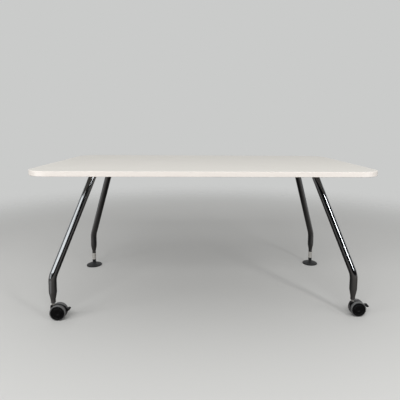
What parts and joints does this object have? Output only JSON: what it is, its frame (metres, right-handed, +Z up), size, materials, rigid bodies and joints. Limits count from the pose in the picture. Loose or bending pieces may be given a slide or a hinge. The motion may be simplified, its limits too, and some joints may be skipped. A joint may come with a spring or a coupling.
{
  "type": "mobile desk",
  "caption": "Rectangular white desk with rounded corners on splayed bent chrome legs, castors along one long side and levelling glides along the other.",
  "frame": {"origin": "on the floor under the middle of the desk top", "axes": "+X along the desk, +Y from the castor side to the glide side, +Z up"},
  "size_m": [1.6, 0.9, 0.72],
  "materials": {
    "chipboard": "pressed chips",
    "white_laminate": "fine matt laminate",
    "white_edge": "satin",
    "brass_insert": "machined",
    "zinc_steel": "zinc plated",
    "cast_aluminium": "die cast, blasted",
    "chromed_tube": "polished",
    "bright_collar": "polished",
    "black_nylon": "moulded satin",
    "grey_tread": "matt",
    "satin_aluminium": "satin turned",
    "black_foot": "moulded satin",
    "dark_pad": "matt"
  },
  "bodies": {
    "desk": {"top_board": "chipboard", "top_laminate": "white_laminate", "backing_laminate": "white_laminate", "edge_band": "white_edge", "threaded_inserts": "brass_insert", "bracket_screws": "zinc_steel", "leg_clamp_screws": "zinc_steel", "front_left_bracket": "cast_aluminium", "front_left_leg": "chromed_tube", "front_right_bracket": "cast_aluminium", "front_right_leg": "chromed_tube", "rear_left_bracket": "cast_aluminium", "rear_left_leg": "chromed_tube", "rear_right_bracket": "cast_aluminium", "rear_right_leg": "chromed_tube", "left_stem_socket": "black_nylon", "left_thread_bush": "zinc_steel", "left_castor_stem": "zinc_steel", "left_castor_collar": "bright_collar", "left_swivel_washer": "black_nylon", "right_stem_socket": "black_nylon", "right_thread_bush": "zinc_steel", "right_castor_stem": "zinc_steel", "right_castor_collar": "bright_collar", "right_swivel_washer": "black_nylon"},
    "left_castor": {"left_castor_body": "black_nylon", "left_castor_axle": "zinc_steel", "left_brake_pin": "zinc_steel"},
    "left_front_castor_wheel": {"left_front_wheel": "black_nylon", "left_front_tread": "grey_tread"},
    "left_back_castor_wheel": {"left_back_wheel": "black_nylon", "left_back_tread": "grey_tread"},
    "left_brake": {"left_brake_lever": "black_nylon"},
    "left_glide": {"left_glide_foot": "black_foot", "left_glide_pad": "dark_pad"},
    "left_glide_screw": {"left_glide_barrel": "satin_aluminium", "left_glide_stud": "zinc_steel"},
    "right_castor": {"right_castor_body": "black_nylon", "right_castor_axle": "zinc_steel", "right_brake_pin": "zinc_steel"},
    "right_front_castor_wheel": {"right_front_wheel": "black_nylon", "right_front_tread": "grey_tread"},
    "right_back_castor_wheel": {"right_back_wheel": "black_nylon", "right_back_tread": "grey_tread"},
    "right_brake": {"right_brake_lever": "black_nylon"},
    "right_glide": {"right_glide_foot": "black_foot", "right_glide_pad": "dark_pad"},
    "right_glide_screw": {"right_glide_barrel": "satin_aluminium", "right_glide_stud": "zinc_steel"}
  },
  "joints": [
    {"name": "left_castor_swivel", "type": "hinge", "parent": "desk", "child": "left_castor", "pos_m": [-0.72, -0.345, 0.07], "axis": [0, 0, 1], "continuous": true},
    {"name": "left_front_wheel_roll", "type": "hinge", "parent": "left_castor", "child": "left_front_castor_wheel", "pos_m": [-0.696, -0.345, 0.0375], "axis": [0, 1, 0], "continuous": true},
    {"name": "left_back_wheel_roll", "type": "hinge", "parent": "left_castor", "child": "left_back_castor_wheel", "pos_m": [-0.696, -0.345, 0.0375], "axis": [0, 1, 0], "continuous": true},
    {"name": "left_brake_press", "type": "hinge", "parent": "left_castor", "child": "left_brake", "pos_m": [-0.674, -0.345, 0.05], "axis": [0, 1, 0], "range_deg": [0, 15]},
    {"name": "left_glide_height", "type": "slide", "parent": "desk", "child": "left_glide", "axis": [0, 0, -1], "range_m": [0, 0.012]},
    {"name": "left_glide_turn", "type": "hinge", "parent": "left_glide", "child": "left_glide_screw", "pos_m": [-0.72, 0.345, 0.06], "axis": [0, 0, -1], "range_deg": [0, 2880]},
    {"name": "right_castor_swivel", "type": "hinge", "parent": "desk", "child": "right_castor", "pos_m": [0.72, -0.345, 0.07], "axis": [0, 0, 1], "continuous": true},
    {"name": "right_front_wheel_roll", "type": "hinge", "parent": "right_castor", "child": "right_front_castor_wheel", "pos_m": [0.744, -0.345, 0.0375], "axis": [0, 1, 0], "continuous": true},
    {"name": "right_back_wheel_roll", "type": "hinge", "parent": "right_castor", "child": "right_back_castor_wheel", "pos_m": [0.744, -0.345, 0.0375], "axis": [0, 1, 0], "continuous": true},
    {"name": "right_brake_press", "type": "hinge", "parent": "right_castor", "child": "right_brake", "pos_m": [0.766, -0.345, 0.05], "axis": [0, 1, 0], "range_deg": [0, 15]},
    {"name": "right_glide_height", "type": "slide", "parent": "desk", "child": "right_glide", "axis": [0, 0, -1], "range_m": [0, 0.012]},
    {"name": "right_glide_turn", "type": "hinge", "parent": "right_glide", "child": "right_glide_screw", "pos_m": [0.72, 0.345, 0.06], "axis": [0, 0, -1], "range_deg": [0, 2880]}
  ],
  "couplings": [
    {"joint": "left_glide_height", "follows": "left_glide_turn", "m_per_rad": 0.00023873},
    {"joint": "right_glide_height", "follows": "right_glide_turn", "m_per_rad": 0.00023873}
  ]
}
